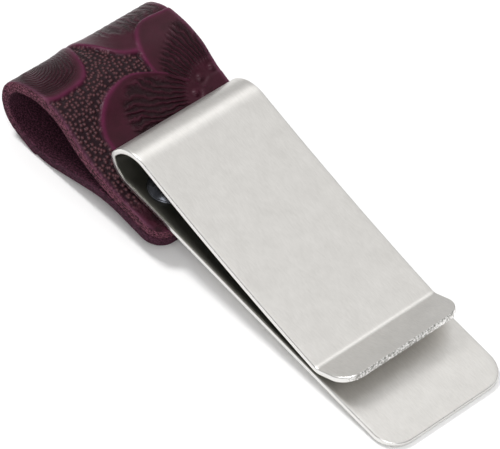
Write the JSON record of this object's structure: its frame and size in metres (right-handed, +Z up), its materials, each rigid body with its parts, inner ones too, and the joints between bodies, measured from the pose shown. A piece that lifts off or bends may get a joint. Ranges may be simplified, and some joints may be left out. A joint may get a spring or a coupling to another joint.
{
  "type": "money clip",
  "caption": "Folded spring-steel money clip with a flared lip and a tooled leather pen loop riveted under its plate.",
  "frame": {"origin": "on the table under the object, at the middle of its outline in plan; it lies on the loop's belly and the plate's free end", "axes": "+X along the clip from the pen loop to the plate's free end, +Y across the strip, +Z up from the table"},
  "size_m": [0.089, 0.0292, 0.0156],
  "materials": {
    "steel": "satin, fine cross grain",
    "leather": "tooled and waxed, with raw dyed edges",
    "rivet": "black nickel, glossy"
  },
  "bodies": {
    "plate": {"lower_leaf": "steel", "strap_end_upper": "leather", "strap_end_lower": "leather", "rivet_cap_near": "rivet", "rivet_cap_far": "rivet", "rivet_post_near": "rivet", "rivet_post_far": "rivet"},
    "spring_leaf": {"upper_leaf": "steel"},
    "loop": {"pen_loop": "leather"}
  },
  "joints": [
    {"name": "leaf_spring", "type": "hinge", "parent": "plate", "child": "spring_leaf", "pos_m": [-0.02067, 0, 0.01167], "axis": [0, -1, 0], "range_deg": [0, 8], "stiffness_Nm_per_rad": 2.5, "springref_deg": -1.72},
    {"name": "loop_flex", "type": "hinge", "parent": "plate", "child": "loop", "pos_m": [-0.01572, 0, 0.0028], "axis": [0, -1, 0], "range_deg": [0, 12], "stiffness_Nm_per_rad": 0.15}
  ]
}
